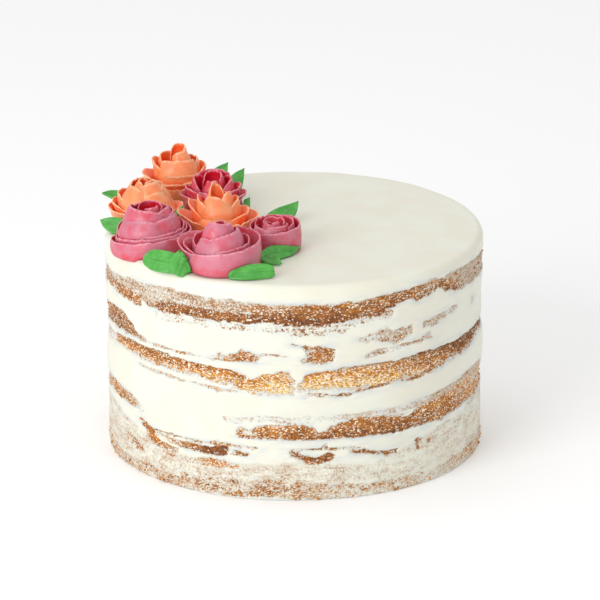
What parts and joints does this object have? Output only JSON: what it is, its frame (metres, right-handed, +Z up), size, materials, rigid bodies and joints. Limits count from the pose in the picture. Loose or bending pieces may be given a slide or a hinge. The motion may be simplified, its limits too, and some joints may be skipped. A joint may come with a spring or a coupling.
{
  "type": "naked layer cake",
  "caption": "Round naked layer cake with a thin scraped coat of cream over its sponge layers, and piped cream roses and leaves on one side of its top.",
  "frame": {"origin": "centre of the flat base, on the surface that the cake stands on", "axes": "+Z up through the cake's height, -Y towards the front that the picture shows, +X to its right"},
  "size_m": [0.2187, 0.215, 0.157],
  "materials": {
    "sponge": "baked golden brown sponge crumb, dry and matt",
    "cream": "ivory buttercream with a soft sheen",
    "pink": "deep pink buttercream with a soft sheen",
    "orange": "bright orange buttercream with a soft sheen",
    "green": "green buttercream with a soft sheen"
  },
  "bodies": {
    "root": {"sponge_bottom": "sponge", "sponge_middle": "sponge", "sponge_top": "sponge", "filling_lower": "cream", "filling_upper": "cream", "coat_lower": "cream", "coat_middle": "cream", "coat_upper": "cream", "cream_top": "cream", "rose_pink_front": "pink", "rose_pink_left": "pink", "rose_pink_right": "pink", "rose_pink_back": "pink", "rose_orange_centre": "orange", "rose_orange_left": "orange", "rose_orange_back": "orange", "leaf_left_back": "green", "leaf_left_front": "green", "leaf_back_left": "green", "leaf_back_right": "green", "leaf_middle_left": "green", "leaf_middle_right": "green", "leaf_long_right": "green", "leaf_front_right": "green", "leaf_front": "green", "leaf_front_left": "green"}
  },
  "joints": []
}
